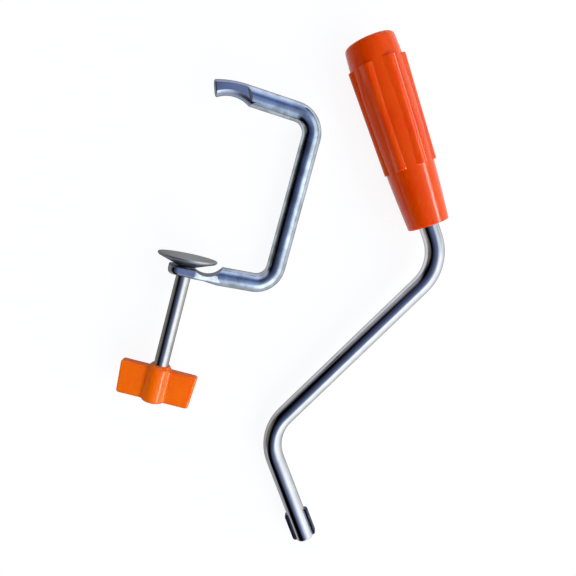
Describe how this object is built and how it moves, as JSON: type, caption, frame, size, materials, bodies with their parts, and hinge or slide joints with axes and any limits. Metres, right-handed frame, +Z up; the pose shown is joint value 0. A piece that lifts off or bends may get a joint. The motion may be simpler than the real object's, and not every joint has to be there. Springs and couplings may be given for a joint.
{
  "type": "hand crank and table clamp set",
  "caption": "Bent-bar hand crank with a free-turning ribbed grip, and a C-shaped table clamp with screw, pressure pad and wing handle, for a hand-turned kitchen machine.",
  "frame": {"origin": "middle of the flat-lying set, on the table it lies on", "axes": "+Z up from the table, +Y along the length of the set with the grip and the hook at the +Y end, +X from the clamp to the crank"},
  "size_m": [0.1358, 0.2132, 0.0242],
  "materials": {
    "bar_bright": "bright nickel-chrome plate on drawn round bar",
    "screw_bright": "bright plated screw with a fine thread",
    "pad_steel": "plated pressed sheet, slightly satin",
    "wing_orange": "glossy moulded plastic, bright orange",
    "grip_orange": "glossy moulded plastic, deep orange",
    "plug_orange": "glossy moulded plastic, deep orange",
    "zinc_steel": "zinc-plated spring steel"
  },
  "bodies": {
    "clamp": {"clamp_frame": "bar_bright"},
    "pad": {"pressure_pad": "pad_steel"},
    "screw": {"clamp_spindle": "screw_bright", "wing_handle": "wing_orange"},
    "crank": {"crank_rod": "bar_bright", "grip_washer": "zinc_steel", "grip_retaining_ring": "zinc_steel"},
    "grip": {"crank_grip": "grip_orange", "grip_end_plug": "plug_orange"}
  },
  "joints": [
    {"name": "screw_travel", "type": "slide", "parent": "clamp", "child": "pad", "axis": [0.2644, 0.9644, 0], "range_m": [0, 0.038]},
    {"name": "screw_turn", "type": "hinge", "parent": "pad", "child": "screw", "pos_m": [-0.03839, 0.0155, 0.0121], "axis": [0.2644, 0.9644, 0], "range_deg": [0, 13680]},
    {"name": "crank_lift", "type": "slide", "parent": "clamp", "child": "crank", "axis": [0, 0, 1], "range_m": [0, 0.1]},
    {"name": "grip_spin", "type": "hinge", "parent": "crank", "child": "grip", "pos_m": [0.06016, 0.0327, 0.01029], "axis": [-0.3403, 0.9401, 0.0214], "continuous": true}
  ],
  "couplings": [
    {"joint": "screw_travel", "follows": "screw_turn", "m_per_rad": 0.00015915}
  ]
}
